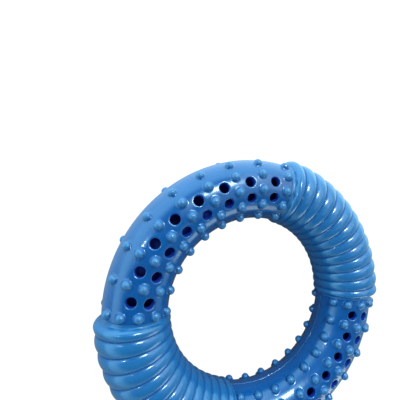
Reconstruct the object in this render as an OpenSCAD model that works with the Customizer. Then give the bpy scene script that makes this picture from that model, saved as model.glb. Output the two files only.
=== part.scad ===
// Hollow chew ring: two nubbed, pierced sections and two ribbed grip sections, lying flat.
// Each section is an upper and a lower half shell that meet in a tongue-and-groove seam,
// and the nubbed sections plug into the ribbed ones with a half-lap spigot.
// Origin: centre of the ring on the surface it rests on. +Z is the ring's axis.

/* [Ring] */
// Radius of the ring's centre line
ring_r = 50; // [46:1:60]
// Outside radius of the plain tube
tube_r = 12.6; // [12:0.1:13.2]
// Wall thickness of the hollow tube
wall = 3; // [2.6:0.1:3.6]
// Arc of each nubbed section, in degrees
nubbed_arc = 102; // [100:1:104]

/* [Nubs] */
// Nub columns along a nubbed section
nub_columns = 9; // [5:1:9]
// Nub rows around each half shell
nub_rows = 5; // [3:2:5]
// Angle around the tube from one nub row to the next
nub_row_step = 28.8; // [27:0.1:29]
// Diameter of a nub
nub_d = 3.8; // [3:0.1:4.2]
// Height of a nub above the tube
nub_h = 2; // [1.6:0.1:2]
// Angle along the ring from an end column's centre to the end of its section
nub_end_margin = 2.4; // [2.3:0.1:3.5]
// How far the lower shells' outermost row moves towards the seam
lower_row_shift = 4; // [0:0.5:5]

/* [Holes] */
// Diameter of a hole through the wall
hole_d = 4; // [3:0.1:4.4]
// Angle around the tube from the crown to each of the two hole rows
hole_row_angle = 15.4; // [14:0.1:17]

/* [Ribs] */
// Ribs along a ribbed section
rib_count = 13; // [11:1:15]
// Radius of a rib's crest around the tube
crest_r = 14.7; // [14.7:0.1:15.2]
// How far the ribs' centre lies outside the ring's centre line
crest_offset = 1; // [0:0.1:1.2]
// Radius that rounds a rib's crest
rib_round = 7.3; // [6:0.1:7.3]
// Radius that rounds the outer shoulder of the first and last rib
shoulder_round = 5; // [5:0.1:6]
// How far that shoulder's rounding is set back towards the other ribs, in degrees
shoulder_set_back = 0.9; // [0.7:0.1:1.2]

/* [Joints between pieces] */
// Arc of the spigot that plugs into a ribbed section, in degrees
lap_arc = 5; // [4:0.5:6]
// Radial gap between spigot and socket
lap_gap = 0.05; // [0.05:0.05:0.2]
// Width of the tongue along the seam
tongue_w = 1; // [0.8:0.1:1.1]
// Height of the tongue
tongue_h = 1.2; // [0.8:0.1:1.6]
// Gap around the tongue
tongue_gap = 0.05; // [0.05:0.05:0.15]

/* [Hidden] */

blue = [0.16, 0.45, 0.76];
hollow_r = tube_r - wall;
seam_r = tube_r - wall / 2;
ribbed_arc = 180 - nubbed_arc;
rib_pitch = ribbed_arc / rib_count;
nub_pitch = (nubbed_arc - 2 * nub_end_margin) / (nub_columns - 1);
// The ring rests on the rib crests.
rest_h = crest_r;
// Longer than the tube is thick, for solids that cut or bound it.
clear = 2 * crest_r;
// Half the thickness of the disc that a rib is cut from, more than the widest rib needs.
disc_half = (ring_r + crest_offset + crest_r) * tan(rib_pitch / 2) + 2;
// The shoulder's rounding starts this far above the crest, so that it crosses the rib at an angle.
shoulder_rise = 0.05;
// Room beyond the end of a spigot, in degrees.
end_gap = 0.2;
// The tube under the ribs stops this far short of the section's ends, in degrees, and reaches
// this far into the hollow, in mm, before the hollow is cut out.
core_inset = 0.5;
$fn = 96;

// ---- shared shapes ----

// Half disc on the upper side of the tube's cross-section, in the plane of rotate_extrude.
module half_disc(r) {
    intersection() {
        translate([ring_r, 0]) circle(r = r);
        translate([ring_r - clear, 0]) square([2 * clear, clear]);
    }
}

// Half-round tube wall over an arc centred on the +X axis.
module half_tube(outer_r, inner_r, from, to) {
    rotate([0, 0, from])
        rotate_extrude(angle = to - from)
            difference() {
                half_disc(outer_r);
                translate([ring_r, 0]) circle(r = inner_r);
            }
}

// The two bands along the seam, one in the inner wall and one in the outer.
module seam_bands(width, height, from, to) {
    rotate([0, 0, from])
        rotate_extrude(angle = to - from)
            for (side = [-1, 1])
                translate([ring_r + side * seam_r - width / 2, -height])
                    square([width, 2 * height]);
}

// Turns a child that points along +X to angle a along the ring and b around the tube.
module on_tube(a, b) {
    rotate([0, 0, a])
        translate([ring_r, 0, 0])
            rotate([0, -b, 0])
                children();
}

// ---- nubbed section ----

module nub() {
    translate([tube_r + nub_h - nub_d / 2, 0, 0]) sphere(d = nub_d, $fn = 48);
}

module hole() {
    translate([hollow_r - wall / 2, 0, 0])
        rotate([0, 90, 0])
            cylinder(d = hole_d, h = 2 * wall, $fn = 48);
}

function nub_column_angle(i) = (i - (nub_columns - 1) / 2) * nub_pitch;
function nub_row_angle(j) = 90 + (j - (nub_rows - 1) / 2) * nub_row_step;

// One half shell of a nubbed section, its crown up and its middle on +X.
// A lower shell has no holes, and its outermost row has only every other nub.
module nubbed_half(is_lower) {
    half = nubbed_arc / 2;
    difference() {
        union() {
            half_tube(tube_r, hollow_r, -half, half);
            half_tube(seam_r, hollow_r, -half - lap_arc, half + lap_arc);
            for (i = [0 : nub_columns - 1])
                for (j = [(is_lower ? 1 : 0) : nub_rows - 1])
                    on_tube(nub_column_angle(i), nub_row_angle(j)) nub();
            if (is_lower)
                for (i = [0 : 2 : nub_columns - 1])
                    on_tube(nub_column_angle(i), nub_row_angle(0) - lower_row_shift) nub();
            if (!is_lower) seam_bands(tongue_w, tongue_h, -half, half);
        }
        if (!is_lower)
            for (i = [0 : nub_columns - 2])
                for (side = [-1, 1])
                    on_tube(nub_column_angle(i + 0.5), 90 + side * hole_row_angle) hole();
        if (is_lower)
            seam_bands(tongue_w + 2 * tongue_gap, tongue_h + tongue_gap, -half - 1, half + 1);
    }
}

// ---- ribbed section ----

// Disc across the tube with a rounded rim, centred on the ribs' own centre line.
module rounded_disc(rim_r, rim_round) {
    translate([ring_r + crest_offset, 0, 0])
        rotate([90, 0, 0])
            rotate_extrude()
                intersection() {
                    union() {
                        translate([rim_r - rim_round, 0]) circle(r = rim_round);
                        translate([0, -clear / 2]) square([rim_r - rim_round, clear]);
                    }
                    translate([0, -disc_half]) square([clear, 2 * disc_half]);
                }
}

// One rib, cut to its own slice of the upper half ring.
module rib(a) {
    intersection() {
        rotate([0, 0, a]) rounded_disc(crest_r, rib_round);
        rotate([0, 0, a - rib_pitch / 2])
            rotate_extrude(angle = rib_pitch)
                translate([ring_r - clear, 0])
                    square([2 * clear, clear]);
    }
}

// The first or last rib, with a rounder shoulder on the side away from the other ribs.
module end_rib(side) {
    a = side * (rib_count - 1) / 2 * rib_pitch;
    intersection() {
        rib(a);
        rotate([0, 0, a - side * shoulder_set_back])
            rounded_disc(crest_r + shoulder_rise, shoulder_round);
    }
}

// One half shell of a ribbed section, its crown up and its middle on +X.
module ribbed_half(is_lower) {
    half = ribbed_arc / 2;
    difference() {
        union() {
            half_tube(tube_r, hollow_r - core_inset, core_inset - half, half - core_inset);
            for (i = [1 : rib_count - 2])
                rib((i - (rib_count - 1) / 2) * rib_pitch);
            for (side = [-1, 1])
                end_rib(side);
            if (!is_lower) seam_bands(tongue_w, tongue_h, lap_arc - half, half - lap_arc);
        }
        rotate([0, 0, -half - 1])
            rotate_extrude(angle = ribbed_arc + 2)
                translate([ring_r, 0]) circle(r = hollow_r);
        for (side = [0, 1])
            mirror([0, side, 0])
                rotate([0, 0, half - lap_arc - end_gap])
                    rotate_extrude(angle = lap_arc + 1)
                        translate([ring_r, 0]) circle(r = seam_r + lap_gap);
        if (is_lower)
            seam_bands(tongue_w + 2 * tongue_gap, tongue_h + tongue_gap, -half - 1, half + 1);
    }
}

// ---- placing the pieces ----

// Places an upper half shell, or turns it over for a lower one, at angle a of the ring.
module place(a, is_lower) {
    color(blue)
        translate([0, 0, rest_h])
            rotate([0, 0, a])
                mirror([0, 0, is_lower ? 1 : 0])
                    children();
}

module nubbed_upper_shell_1() place(90, false) nubbed_half(false);
module nubbed_lower_shell_1() place(90, true) nubbed_half(true);
module nubbed_upper_shell_2() place(270, false) nubbed_half(false);
module nubbed_lower_shell_2() place(270, true) nubbed_half(true);
module ribbed_upper_shell_1() place(0, false) ribbed_half(false);
module ribbed_lower_shell_1() place(0, true) ribbed_half(true);
module ribbed_upper_shell_2() place(180, false) ribbed_half(false);
module ribbed_lower_shell_2() place(180, true) ribbed_half(true);

nubbed_upper_shell_1();
nubbed_lower_shell_1();
nubbed_upper_shell_2();
nubbed_lower_shell_2();
ribbed_upper_shell_1();
ribbed_lower_shell_1();
ribbed_upper_shell_2();
ribbed_lower_shell_2();
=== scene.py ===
"""A hollow rubber chew ring lying on a lit white table.

Eight glossy blue half shells stand for the eight CAD shells. Each is meshed from a distance function in
the part's own frame, so that walls, nubs, holes, ribs, seams and laps are all real geometry.
Shells are shaped in millimetres, while meshes, textures and the studio are in metres.
Angles are in degrees unless a name ends in _rad.
"""

import math
from types import SimpleNamespace

import bpy
import numpy as np
from mathutils import Matrix, Vector


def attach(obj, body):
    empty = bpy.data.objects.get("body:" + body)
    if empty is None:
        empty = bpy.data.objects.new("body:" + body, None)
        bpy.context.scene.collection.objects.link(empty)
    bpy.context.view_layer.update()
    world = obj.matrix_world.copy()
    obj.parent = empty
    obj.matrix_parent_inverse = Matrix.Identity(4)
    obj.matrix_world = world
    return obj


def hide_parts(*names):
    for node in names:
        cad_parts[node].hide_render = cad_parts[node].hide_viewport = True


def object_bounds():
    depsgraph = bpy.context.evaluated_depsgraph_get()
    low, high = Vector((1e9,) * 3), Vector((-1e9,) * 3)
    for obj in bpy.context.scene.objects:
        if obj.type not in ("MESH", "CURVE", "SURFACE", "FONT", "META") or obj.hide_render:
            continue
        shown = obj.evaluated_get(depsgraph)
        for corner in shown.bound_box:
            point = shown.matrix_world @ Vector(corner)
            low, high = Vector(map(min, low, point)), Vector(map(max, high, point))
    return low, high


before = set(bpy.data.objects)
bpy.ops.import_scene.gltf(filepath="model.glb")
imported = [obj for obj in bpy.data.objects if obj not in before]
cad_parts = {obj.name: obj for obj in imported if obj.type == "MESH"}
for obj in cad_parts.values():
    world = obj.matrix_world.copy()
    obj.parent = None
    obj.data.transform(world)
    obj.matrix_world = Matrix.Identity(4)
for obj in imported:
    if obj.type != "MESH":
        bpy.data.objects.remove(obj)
cad_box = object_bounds()
MM = 0.001

# ---- the part's sizes: the ring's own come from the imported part, the rest repeat the CAD source ----
CREST_OFFSET = 1.0
CREST_R = (cad_box[1].z - cad_box[0].z) / 2 / MM
RING_R = cad_box[1].x / MM - CREST_R - CREST_OFFSET
SEAM_Z = CREST_R
TUBE_R = 12.6
WALL = 3.0
HOLLOW_R = TUBE_R - WALL
MID_WALL_R = TUBE_R - WALL / 2
NUBBED_HALF_ARC = 51.0
RIBBED_HALF_ARC = 90 - NUBBED_HALF_ARC

NUB_COLUMNS = 9
NUB_END_MARGIN = 2.4
NUB_PITCH = 2 * (NUBBED_HALF_ARC - NUB_END_MARGIN) / (NUB_COLUMNS - 1)
NUB_ROWS = 5
NUB_ROW_STEP = 28.8
NUB_H = 2.0
LOWER_ROW_SHIFT = 4.0

HOLE_R = 2.0
HOLE_ROW = 15.4

RIBS = 13
RIB_PITCH = 2 * RIBBED_HALF_ARC / RIBS
WIDEST_R = RING_R + CREST_OFFSET + CREST_R

LAP_ARC = 5.0
LAP_END_GAP = 0.2
TONGUE_W = 1.0
TONGUE_H = 1.2
GROOVE_OVERRUN = 1.0

# ---- the look's own sizes, which the CAD doesn't have or has a little different ----
FIT_GAP = 0.08
NUB_R = 1.75
NUB_FILLET = 0.7
HOLE_LIP = 0.55

# A rib's profile is part of an ellipse: its depth, and the share of its half width that is used, which
# stays under the steepest share beyond the last rib.
CREASE_DEPTH = 1.95
RIB_ROUNDNESS = 0.93
STEEPEST_SHARE = 0.995

# An end rib's shoulder, in half rib pitches beyond the last crest, and the blend at its foot in mm.
SHOULDER_START = -0.25
SHOULDER_END = 0.55
SHOULDER_FOOT = 0.7

# Widths over which edges are rounded: in general, where sections meet, and along the seams.
EDGE = 0.4
JOINT_EDGE = 0.06
NUBBED_SEAM_EDGE = 0.5
RIBBED_SEAM_EDGE = 0.15

# The raised bead along the seam of a nubbed section.
BEAD_H = 0.12
BEAD_W = 0.9

# The line of painted shade where sections meet: its half width, and its share of the deepest crease's
# relief.
JOINT_SHADE_W = 0.45
JOINT_SHADE = 0.9
# How far inside the tube's skin a hole's wall starts to get painted shade.
HOLE_SHADE_START = 0.3 * HOLE_LIP

# ---- grid of the meshes: a cell's size along the ring, around the tube and through the wall ----
CELL_ALONG = 0.375
CELL_AROUND = 1.5
CELL_THROUGH = 0.35
# How many degrees the grid goes past a section's ends and below the seam, and its outer radius.
PAST_END = 1
PAST_SEAM = 9
OUTERMOST_R = 16.4
# A distance that is beyond everything in the grid.
FAR = 1000.0
# Faces that meet at more than this angle are shaded with a sharp edge.
SHARP_FROM = 40


# ---- distance functions, in the frame of a section whose middle is on +X and whose crown is up ----


def smooth_max(a, b, width):
    """The larger of two distances, its edge rounded over a width."""
    near = np.maximum(width - np.abs(a - b), 0) / width
    return np.maximum(a, b) + near * near * width / 4


def smooth_min(a, b, width):
    return -smooth_max(-a, -b, width)


def around_tube(points):
    """The coordinates that the distance functions use, for points as rows of x, y and z."""
    x, y, z = points[..., 0], points[..., 1], points[..., 2]
    ring = np.hypot(x, y)
    out = ring - RING_R
    return SimpleNamespace(
        ring=ring, out=out, z=z, along=np.degrees(np.arctan2(y, x)), r=np.hypot(out, z)
    )


def from_column(at, column_angle):
    """Outward and sideways distance in the upright plane at column_angle, which may differ by point."""
    turn_rad = np.radians(at.along - column_angle)
    return at.ring * np.cos(turn_rad) - RING_R, at.ring * np.sin(turn_rad)


def nub_row(at, row, is_lower):
    """Distance to the nearest nub of a row. A lower shell's outermost row has only every other nub."""
    phi = 90 + (row - (NUB_ROWS - 1) / 2) * NUB_ROW_STEP
    pitch = NUB_PITCH
    if is_lower and row == 0:
        phi -= LOWER_ROW_SHIFT
        pitch *= 2
    last = (NUB_COLUMNS - 1) / 2 * NUB_PITCH
    column = np.clip(np.round(at.along / pitch) * pitch, -last, last)
    out, side = from_column(at, column)
    centre_r = TUBE_R + NUB_H - NUB_R
    dx = out - centre_r * math.cos(math.radians(phi))
    dz = at.z - centre_r * math.sin(math.radians(phi))
    return np.sqrt(dx * dx + side * side + dz * dz) - NUB_R


def hole_row(at, phi):
    """Distance to the nearest hole of a row, which lies between the nub columns."""
    last = (NUB_COLUMNS - 2) / 2 * NUB_PITCH
    between = (np.floor(at.along / NUB_PITCH) + 0.5) * NUB_PITCH
    out, side = from_column(at, np.clip(between, -last, last))
    nx, nz = math.cos(math.radians(phi)), math.sin(math.radians(phi))
    depth = out * nx + at.z * nz
    across = np.sqrt(np.maximum(out * out + side * side + at.z * at.z - depth * depth, 0))
    return np.where(depth > 0, across - HOLE_R, FAR)


def beyond(at, half_arc):
    """How far a point lies beyond the end of an arc that is centred on +X."""
    return at.ring * np.sin(np.radians(np.abs(at.along) - half_arc))


def seam_band(at, width, height):
    """Tongue or groove: a band in the inner and outer wall, along the seam."""
    across = np.abs(np.abs(at.out) - MID_WALL_R) - width / 2
    return smooth_max(across, np.abs(at.z) - height, EDGE / 2)


def close_seam(body, at, is_lower, half_arc, edge):
    """Cuts a body at the seam and gives an upper shell its tongues and a lower shell its grooves."""
    body = smooth_max(body, -at.z, edge)
    if is_lower:
        groove = seam_band(at, TONGUE_W + 2 * FIT_GAP, TONGUE_H + FIT_GAP)
        return np.maximum(body, -np.maximum(groove, beyond(at, half_arc + GROOVE_OVERRUN)))
    tongue = np.maximum(seam_band(at, TONGUE_W, TONGUE_H), beyond(at, half_arc))
    return np.minimum(body, np.maximum(tongue, HOLLOW_R - at.r))


def nubbed_shell(points, is_lower):
    at = around_tube(points)
    skin = at.r - TUBE_R - BEAD_H * np.exp(-((at.z / BEAD_W) ** 2))
    for row in range(NUB_ROWS):
        skin = smooth_min(skin, nub_row(at, row, is_lower), NUB_FILLET)
    body = smooth_max(skin, beyond(at, NUBBED_HALF_ARC), JOINT_EDGE)
    spigot = smooth_max(at.r - MID_WALL_R, beyond(at, NUBBED_HALF_ARC + LAP_ARC), EDGE)
    body = smooth_max(np.minimum(body, spigot), HOLLOW_R - at.r, EDGE)
    body = close_seam(body, at, is_lower, NUBBED_HALF_ARC, NUBBED_SEAM_EDGE)
    if not is_lower:
        for phi in (90 - HOLE_ROW, 90 + HOLE_ROW):
            body = smooth_max(body, -hole_row(at, phi), HOLE_LIP)
    return body


def rib_drop(at, proud):
    """How far the ribs' surface lies below the crests: rounded ribs with a crease between them.

    The crests stand proud of the plain tube by `proud`. The two end ribs slope away to the tube in a
    round shoulder.
    """
    last = (RIBS - 1) / 2
    rib = np.clip(np.round(at.along / RIB_PITCH), -last, last)
    share = np.abs(at.along - rib * RIB_PITCH) / (RIB_PITCH / 2)
    side = np.clip(share * RIB_ROUNDNESS, 0, STEEPEST_SHARE)
    drop = CREASE_DEPTH * at.ring / WIDEST_R * (1 - np.sqrt(1 - side * side))
    past_last = (np.abs(at.along) / RIB_PITCH - last) * 2
    bend = np.clip((past_last - SHOULDER_START) / (SHOULDER_END - SHOULDER_START), 0, 1)
    shoulder = (proud + SHOULDER_FOOT) * (1 - np.sqrt(1 - bend * bend))
    return np.where(past_last > 0, shoulder, np.maximum(drop, shoulder))


def ribbed_shell(points, is_lower):
    at = around_tube(points)
    from_crest_centre = np.hypot(at.out - CREST_OFFSET, at.z)
    proud = CREST_R - TUBE_R + CREST_OFFSET * at.out / np.maximum(at.r, 1)
    skin = from_crest_centre - CREST_R + rib_drop(at, proud)
    skin = smooth_min(skin, at.r - TUBE_R, SHOULDER_FOOT)
    body = smooth_max(skin, beyond(at, RIBBED_HALF_ARC), JOINT_EDGE)
    body = smooth_max(body, HOLLOW_R - at.r, EDGE)
    socket_start = -beyond(at, RIBBED_HALF_ARC - LAP_ARC - LAP_END_GAP)
    socket = smooth_max(at.r - MID_WALL_R - FIT_GAP, socket_start, EDGE)
    body = smooth_max(body, -socket, EDGE / 2)
    return close_seam(body, at, is_lower, RIBBED_HALF_ARC - LAP_ARC, RIBBED_SEAM_EDGE)


# ---- relief: below 0 the skin is sunk, dull and gets painted shade, above 0 it is raised and gets painted glow ----


def joint_relief(at, half_arc):
    """The fine line where two sections meet."""
    # The line gets the painted shade of a deep crease.
    return -JOINT_SHADE * np.clip(1 - np.abs(beyond(at, half_arc)) / JOINT_SHADE_W, 0, 1)


def nubbed_relief(at):
    nub = np.clip((at.r - TUBE_R) / NUB_H, 0, 1)
    inside = np.clip((TUBE_R - at.r - HOLE_SHADE_START) / HOLE_LIP, 0, 1)
    # Raised nubs get a painted glow, and a hole's wall and the joint get painted shade.
    return nub - np.maximum(inside, -joint_relief(at, NUBBED_HALF_ARC))


def ribbed_relief(at):
    rib = np.abs(at.along) / RIB_PITCH
    share = np.where(rib < (RIBS - 1) / 2, np.abs(rib - np.round(rib)) * 2, 0)
    # Creases and the joint get painted shade.
    return np.minimum(-share, joint_relief(at, RIBBED_HALF_ARC))


# ---- meshing ----


def centred_steps(low, high, step):
    """Grid lines that leave every multiple of the step in the middle of a cell, where vertices fall."""
    first = math.floor(low / step) - 0.5
    count = math.ceil((high - low) / step) + 3
    return (first + np.arange(count)) * step


def grid_points(half_arc):
    """The grid's nodes around the upper half of a tube, as an array of points.

    The hollow's wall lies in the middle of a cell too, because a surface through nodes pinches the mesh.
    """
    along = centred_steps(-half_arc - PAST_END, half_arc + PAST_END, CELL_ALONG)
    around = centred_steps(-PAST_SEAM, 180 + PAST_SEAM, CELL_AROUND)
    r = np.arange(HOLLOW_R - 1.5 * CELL_THROUGH, OUTERMOST_R, CELL_THROUGH)
    along_rad, around_rad, r = np.meshgrid(np.radians(along), np.radians(around), r, indexing="ij")
    ring = RING_R + r * np.cos(around_rad)
    return np.stack(
        [ring * np.cos(along_rad), ring * np.sin(along_rad), r * np.sin(around_rad)], -1
    )


def shifted(array, axis, start, stop):
    """A slice of an array along one axis."""
    cut = [slice(None)] * array.ndim
    cut[axis] = slice(start, stop)
    return array[tuple(cut)]


def surface_net(nodes, values):
    """Vertices and quads where values change sign: one vertex a cell, one quad an edge that is crossed."""
    inside = values < 0
    cells = tuple(n - 1 for n in values.shape)
    total, hits = np.zeros(cells + (3,)), np.zeros(cells)
    edges = []
    for axis in range(3):
        v0, v1 = shifted(values, axis, None, -1), shifted(values, axis, 1, None)
        p0, p1 = shifted(nodes, axis, None, -1), shifted(nodes, axis, 1, None)
        crossed = (v0 < 0) != (v1 < 0)
        share = np.where(crossed, v0 / np.where(crossed, v0 - v1, 1), 0)
        point = (p0 + share[..., None] * (p1 - p0)) * crossed[..., None]
        b, c = [a for a in range(3) if a != axis]
        for db in (0, 1):
            for dc in (0, 1):
                part = shifted(shifted(point, b, db, db + cells[b]), c, dc, dc + cells[c])
                hit = shifted(shifted(crossed, b, db, db + cells[b]), c, dc, dc + cells[c])
                total += part
                hits += hit
        edges.append((axis, b, c, crossed))
    used = hits > 0
    number = np.full(cells, -1)
    number[used] = np.arange(used.sum())
    vertices = total[used] / hits[used][:, None]
    quads = []
    for axis, b, c, crossed in edges:
        found = np.argwhere(crossed)
        starts_inside = inside[tuple(found.T)]
        corners = []
        for db, dc in ((-1, -1), (0, -1), (0, 0), (-1, 0)):
            cell = found.copy()
            cell[:, b] += db
            cell[:, c] += dc
            corners.append(number[tuple(cell.T)])
        quad = np.stack(corners, -1)
        # Around the middle axis the other two run in the opposite sense.
        turned = starts_inside if axis == 1 else ~starts_inside
        quad[turned] = quad[turned][:, ::-1]
        quads.append(quad)
    return vertices, np.concatenate(quads)


def settle(vertices, distance, steps=4, reach=0.05, least_slope=0.5):
    """Moves vertices onto the true surface, along the distance function's slope.

    At an edge the slope can be faint, and the least slope keeps the move short there.
    """
    offsets = reach * np.eye(3)
    for _ in range(steps):
        value = distance(vertices)
        slope = np.stack(
            [(distance(vertices + o) - distance(vertices - o)) / (2 * reach) for o in offsets], -1
        )
        steepness = np.maximum((slope * slope).sum(-1), least_slope**2)
        step = np.clip(value / steepness, -CELL_THROUGH, CELL_THROUGH)
        vertices = vertices - step[:, None] * slope
    return vertices


def half_shell(shape, half_arc, is_lower):
    """Vertices and quads of one kind of half shell, in its section's frame with the seam at z = 0."""
    nodes = grid_points(half_arc)
    vertices, quads = surface_net(nodes, shape(nodes, is_lower))
    vertices = settle(vertices, lambda points: shape(points, is_lower))
    if is_lower:
        vertices = vertices * (1, 1, -1)
        quads = quads[:, ::-1]
    return vertices, quads


def add_shell(name, vertices, quads, relief, angle, material):
    """One half shell turned to its place on the ring, standing for its CAD node."""
    place = Matrix.Translation((0, 0, SEAM_Z)) @ Matrix.Rotation(math.radians(angle), 4, "Z")
    turn = np.array(place.to_3x3())
    placed = (vertices @ turn.T + np.array(place.translation)) * MM
    mesh = bpy.data.meshes.new(name + "_rubber")
    mesh.from_pydata(placed.tolist(), [], quads.tolist())
    mesh.shade_smooth()
    mesh.set_sharp_from_angle(angle=math.radians(SHARP_FROM))
    mesh.attributes.new("relief", "FLOAT", "POINT").data.foreach_set("value", relief)
    mesh.materials.append(material)
    piece = bpy.data.objects.new(name + "_rubber", mesh)
    bpy.context.scene.collection.objects.link(piece)
    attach(piece, "root")
    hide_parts(name)


# ---- materials ----

# A painted glow: the paler blue that raised nubs get, for light through thin rubber.
NUB_PAINTED_GLOW_BLUE = (0.03, 0.2, 0.5)
# Reliefs over which painted shade fades to plain, dull turns to glossy and plain turns to raised, with
# painted glow.
PAINTED_SHADE_RELIEF = (-1, -0.65)
DULL_RELIEF = (-1, -0.85)
RAISED_RELIEF = (0.1, 0.6)
# Roughness of the skin under its clear coat, and what dull and raised skin add to it.
ROUGHNESS = (0.21, 0.31)
DULL_ROUGHNESS = 0.5
RAISED_ROUGHNESS = 0.2
COAT = 0.7
COAT_ROUGHNESS = 0.07
SPECULAR_TINT = (0.55, 0.95, 1, 1)
# Features a metre and detail of the colour's clouds, the handling marks and the orange peel.
CLOUDS = (70, 4)
MARKS = (160, 5)
PEEL = (900, 3)
PEEL_STRENGTH = 0.12
PEEL_DEPTH = 0.1 * MM


def new_material(name):
    material = bpy.data.materials.new(name)
    material.use_nodes = True
    nodes = material.node_tree.nodes
    return material, nodes, material.node_tree.links, nodes["Principled BSDF"]


def noise(nodes, links, coordinates, scale, detail):
    """Noise over the object's own coordinates. The scale is in features a metre."""
    texture = nodes.new("ShaderNodeTexNoise")
    texture.inputs["Scale"].default_value = scale
    texture.inputs["Detail"].default_value = detail
    links.new(coordinates.outputs["Object"], texture.inputs["Vector"])
    return texture.outputs["Fac"]


def spread(nodes, links, value, low, high, from_low=0.3, from_high=0.7):
    """Maps a value's range to low and high with soft ends. The default range is the middle of a noise's."""
    mapping = nodes.new("ShaderNodeMapRange")
    mapping.interpolation_type = "SMOOTHSTEP"
    mapping.inputs["From Min"].default_value = from_low
    mapping.inputs["From Max"].default_value = from_high
    mapping.inputs["To Min"].default_value = low
    mapping.inputs["To Max"].default_value = high
    links.new(value, mapping.inputs["Value"])
    return mapping.outputs["Result"]


def dot_with(nodes, links, vector, direction):
    """How far a vector points in a direction."""
    dot = nodes.new("ShaderNodeVectorMath")
    dot.operation = "DOT_PRODUCT"
    dot.inputs[1].default_value = Vector(direction).normalized()
    links.new(vector, dot.inputs[0])
    return dot.outputs["Value"]


def mixed_colour(nodes, links, share, first, second):
    """A colour between two, each of which is a socket or a plain colour."""
    mix = nodes.new("ShaderNodeMix")
    mix.data_type = "RGBA"
    for socket, colour in ((mix.inputs["A"], first), (mix.inputs["B"], second)):
        if isinstance(colour, tuple):
            socket.default_value = (*colour, 1)
        else:
            links.new(colour, socket)
    links.new(share, mix.inputs["Factor"])
    return mix.outputs["Result"]


def added(nodes, links, value, share, extra):
    """A value with a share of something extra added to it."""
    total = nodes.new("ShaderNodeMath")
    total.operation = "MULTIPLY_ADD"
    total.inputs[1].default_value = extra
    links.new(share, total.inputs[0])
    links.new(value, total.inputs[2])
    return total.outputs[0]


def product(nodes, links, first, second):
    """One socket times another socket or a number."""
    result = nodes.new("ShaderNodeMath")
    result.operation = "MULTIPLY"
    links.new(first, result.inputs[0])
    if isinstance(second, float):
        result.inputs[1].default_value = second
    else:
        links.new(second, result.inputs[1])
    return result.outputs[0]


def rubber(name, deep, light, painted_shade_colour):
    """Glossy moulded rubber: cloudy blue under a clear skin with faint orange peel and handling marks.

    The nubs get a paler painted glow for light through thin rubber, and deep creases get painted shade and a
    dull skin.
    """
    material, nodes, links, shader = new_material(name)
    coordinates = nodes.new("ShaderNodeTexCoord")
    attribute = nodes.new("ShaderNodeAttribute")
    attribute.attribute_name = "relief"
    relief = attribute.outputs["Fac"]
    painted_shade = spread(nodes, links, relief, 1, 0, *PAINTED_SHADE_RELIEF)
    dull = spread(nodes, links, relief, 1, 0, *DULL_RELIEF)
    raised = spread(nodes, links, relief, 0, 1, *RAISED_RELIEF)
    clouds = spread(nodes, links, noise(nodes, links, coordinates, *CLOUDS), 0, 1)
    colour = mixed_colour(nodes, links, clouds, deep, light)
    # Painted glow: raised nubs are coloured a paler blue.
    colour = mixed_colour(nodes, links, raised, colour, NUB_PAINTED_GLOW_BLUE)
    # Painted shade: low skin in creases, hole walls and joints is coloured darker.
    colour = mixed_colour(nodes, links, painted_shade, colour, painted_shade_colour)
    links.new(colour, shader.inputs["Base Color"])
    roughness = spread(nodes, links, noise(nodes, links, coordinates, *MARKS), *ROUGHNESS)
    roughness = added(nodes, links, roughness, dull, DULL_ROUGHNESS)
    roughness = added(nodes, links, roughness, raised, RAISED_ROUGHNESS)
    links.new(roughness, shader.inputs["Roughness"])
    links.new(spread(nodes, links, dull, COAT, 0, 0, 1), shader.inputs["Coat Weight"])
    peel = nodes.new("ShaderNodeBump")
    peel.inputs["Strength"].default_value = PEEL_STRENGTH
    peel.inputs["Distance"].default_value = PEEL_DEPTH
    links.new(noise(nodes, links, coordinates, *PEEL), peel.inputs["Height"])
    links.new(peel.outputs["Normal"], shader.inputs["Normal"])
    shader.inputs["IOR"].default_value = 1.5
    shader.inputs["Specular IOR Level"].default_value = 1.0
    shader.inputs["Specular Tint"].default_value = SPECULAR_TINT
    shader.inputs["Coat Roughness"].default_value = COAT_ROUGHNESS
    return material


# ---- studio ----

# The table and the walls glow in a pale blue.
GLOW_BLUE = (0.55, 0.88, 1)
# How bright the camera sees the table, and how much of the table's own shading it sees.
TABLE_SEEN = 1.15
TABLE_SHADOW = 0.12
TABLE_GREY = (0.08, 0.08, 0.08, 1)
TABLE_ROUGHNESS = 0.6
# Where the dark wall turns bright, and where the walls turn into the ceiling, as cosines of directions.
WALL_FADE = (-0.7, 0.8)
CEILING_FADE = (0.3, 0.65)


def white_table(bright_side, dark, bright, fade, shaded, opening):
    """A table top that lights the ring from one side more than from the other, and little in its opening.

    Its glow goes from dark to bright between the two distances of fade, measured towards bright_side. Within
    the smaller radius of opening only a shaded share is left, and beyond the larger all of it. The camera
    sees the table white.
    """
    material, nodes, links, shader = new_material("white_table")
    shader.inputs["Base Color"].default_value = TABLE_GREY
    shader.inputs["Roughness"].default_value = TABLE_ROUGHNESS
    shader.inputs["Emission Color"].default_value = (*GLOW_BLUE, 1)
    position = nodes.new("ShaderNodeTexCoord").outputs["Object"]
    side = spread(nodes, links, dot_with(nodes, links, position, bright_side), dark, bright, *fade)
    distance = nodes.new("ShaderNodeVectorMath")
    distance.operation = "LENGTH"
    links.new(position, distance.inputs[0])
    outside = spread(nodes, links, distance.outputs["Value"], shaded, 1, *opening)
    links.new(product(nodes, links, side, outside), shader.inputs["Emission Strength"])
    white = nodes.new("ShaderNodeEmission")
    white.inputs["Strength"].default_value = TABLE_SEEN
    rays = nodes.new("ShaderNodeLightPath")
    choice = nodes.new("ShaderNodeMixShader")
    whiteness = product(nodes, links, rays.outputs["Is Camera Ray"], 1 - TABLE_SHADOW)
    links.new(whiteness, choice.inputs["Fac"])
    links.new(shader.outputs["BSDF"], choice.inputs[1])
    links.new(white.outputs["Emission"], choice.inputs[2])
    links.new(choice.outputs["Shader"], nodes["Material Output"].inputs["Surface"])
    return material


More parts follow.
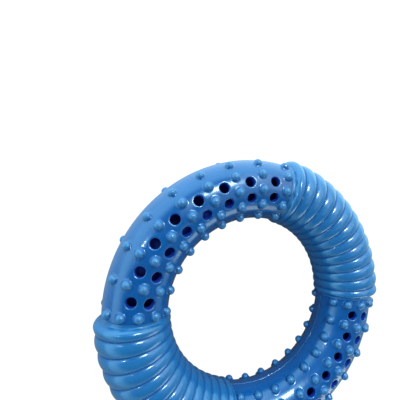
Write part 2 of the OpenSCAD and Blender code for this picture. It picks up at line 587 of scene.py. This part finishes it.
def add_table(radius, material, sides=96):
    mesh = bpy.data.meshes.new("table")
    turns_rad = [2 * math.pi * i / sides for i in range(sides)]
    rim = [(radius * math.cos(turn_rad), radius * math.sin(turn_rad), 0) for turn_rad in turns_rad]
    mesh.from_pydata(rim, [], [list(range(sides))])
    mesh.materials.append(material)
    table = bpy.data.objects.new("table", mesh)
    bpy.context.scene.collection.objects.link(table)


def add_softbox(name, azimuth, elevation, distance, size, power):
    """A rectangular light that faces the ring's centre. Azimuth is from +X towards +Y."""
    light = bpy.data.lights.new(name, "AREA")
    light.shape = "RECTANGLE"
    light.size, light.size_y = size
    light.energy = power
    az_rad, el_rad = math.radians(azimuth), math.radians(elevation)
    level = math.cos(el_rad)
    away = Vector((math.cos(az_rad) * level, math.sin(az_rad) * level, math.sin(el_rad)))
    lamp = bpy.data.objects.new(name, light)
    lamp.location = Vector((0, 0, SEAM_Z * MM)) + away * distance
    lamp.rotation_mode = "QUATERNION"
    lamp.rotation_quaternion = (-away).to_track_quat("-Z", "Y")
    bpy.context.scene.collection.objects.link(lamp)


def add_surroundings(bright_side, dark, bright, overhead):
    """Low walls round the table, brighter on one side, and a dim ceiling.

    The camera sees plain white in their place.
    """
    world = bpy.data.worlds.new("studio")
    world.use_nodes = True
    nodes, links = world.node_tree.nodes, world.node_tree.links
    direction = nodes.new("ShaderNodeTexCoord").outputs["Generated"]
    walls = spread(nodes, links, dot_with(nodes, links, direction, bright_side), dark, bright, *WALL_FADE)
    ceiling = spread(nodes, links, dot_with(nodes, links, direction, (0, 0, 1)), 0, 1, *CEILING_FADE)
    glow = nodes.new("ShaderNodeMix")
    glow.inputs["B"].default_value = overhead
    links.new(ceiling, glow.inputs["Factor"])
    links.new(walls, glow.inputs["A"])
    is_camera = nodes.new("ShaderNodeLightPath").outputs["Is Camera Ray"]
    colour = mixed_colour(nodes, links, is_camera, GLOW_BLUE, (1, 1, 1))
    links.new(colour, nodes["Background"].inputs["Color"])
    strength = nodes.new("ShaderNodeMix")
    strength.inputs["B"].default_value = 1
    links.new(is_camera, strength.inputs["Factor"])
    links.new(glow.outputs["Result"], strength.inputs["A"])
    links.new(strength.outputs["Result"], nodes["Background"].inputs["Strength"])
    bpy.context.scene.world = world


def add_camera(place, aim, up, lens, shift):
    """A camera at place that looks at aim, with up towards the top of its picture."""
    data = bpy.data.cameras.new("camera")
    data.lens = lens
    data.sensor_width = 36
    data.shift_x = shift
    data.clip_start, data.clip_end = 0.01, 50
    camera = bpy.data.objects.new("camera", data)
    forward = (Vector(aim) - Vector(place)).normalized()
    right = forward.cross(Vector(up)).normalized()
    axes = Matrix((right, right.cross(forward), -forward)).transposed()
    camera.matrix_world = Matrix.Translation(place) @ axes.to_4x4()
    bpy.context.scene.collection.objects.link(camera)
    bpy.context.scene.camera = camera


# ---- the scene ----

add_camera(
    place=(-0.0161, 0.0762, 0.1404),
    aim=(0.0161, 0.0446, 0.0147),
    up=(0.61, 0.79, -0.04),
    lens=28.2,
    shift=-0.055,
)
table_top = white_table(
    bright_side=(0.65, 0.76, 0),
    dark=0.25,
    bright=1.6,
    fade=(-0.05, 0.13),
    shaded=0.1,
    opening=(0.045, 0.085),
)
add_table(radius=4, material=table_top)
add_surroundings(bright_side=(0.1, 1, 0), dark=0.6, bright=1.9, overhead=0.08)

# Azimuth, elevation, distance in metres, size in metres and power in watts.
SOFTBOXES = {
    "right_softbox": (0, 45, 0.6, (0.4, 0.4), 0.55),
    "front_softbox": (270, 12, 0.6, (0.3, 0.2), 0.3),
    "key_softbox": (43, 55, 2, (0.6, 0.42), 14),
    "key_lamp": (42, 54, 2, (0.16, 0.16), 5),
    "top_softbox": (-35, 58, 0.33, (0.2, 0.25), 0.06),
    "fill_softbox": (29, 38, 0.6, (0.16, 0.3), 0.15),
    "side_lamp": (118, 36, 0.6, (0.045, 0.02), 0.25),
}
for name, settings in SOFTBOXES.items():
    add_softbox(name, *settings)

# Each kind's third colour is painted shade for the creases, hole walls and joints.
materials = {
    "nubbed_rubber": rubber(
        "nubbed_blue_rubber",
        deep=(0.002, 0.1, 0.38),
        light=(0.003, 0.118, 0.43),
        painted_shade_colour=(0.001, 0.025, 0.5),
    ),
    "ribbed_rubber": rubber(
        "ribbed_blue_rubber",
        deep=(0.016, 0.175, 0.47),
        light=(0.022, 0.2, 0.53),
        painted_shade_colour=(0.001, 0.1, 0.4),
    ),
}
# Each kind's distance function, relief, half arc with its spigots, and places round the ring.
SECTIONS = {
    "nubbed": (nubbed_shell, nubbed_relief, NUBBED_HALF_ARC + LAP_ARC, (90, 270)),
    "ribbed": (ribbed_shell, ribbed_relief, RIBBED_HALF_ARC, (0, 180)),
}
for kind, (shape, relief_of, half_arc, angles) in SECTIONS.items():
    for level in ("upper", "lower"):
        vertices, quads = half_shell(shape, half_arc, level == "lower")
        relief = relief_of(around_tube(vertices))
        for number, angle in enumerate(angles, start=1):
            slot = kind + "_rubber"
            name = f"{kind}_{level}_shell_{number}"
            add_shell(name, vertices, quads, relief, angle, materials[slot])

bpy.context.scene.view_settings.view_transform = "Standard"
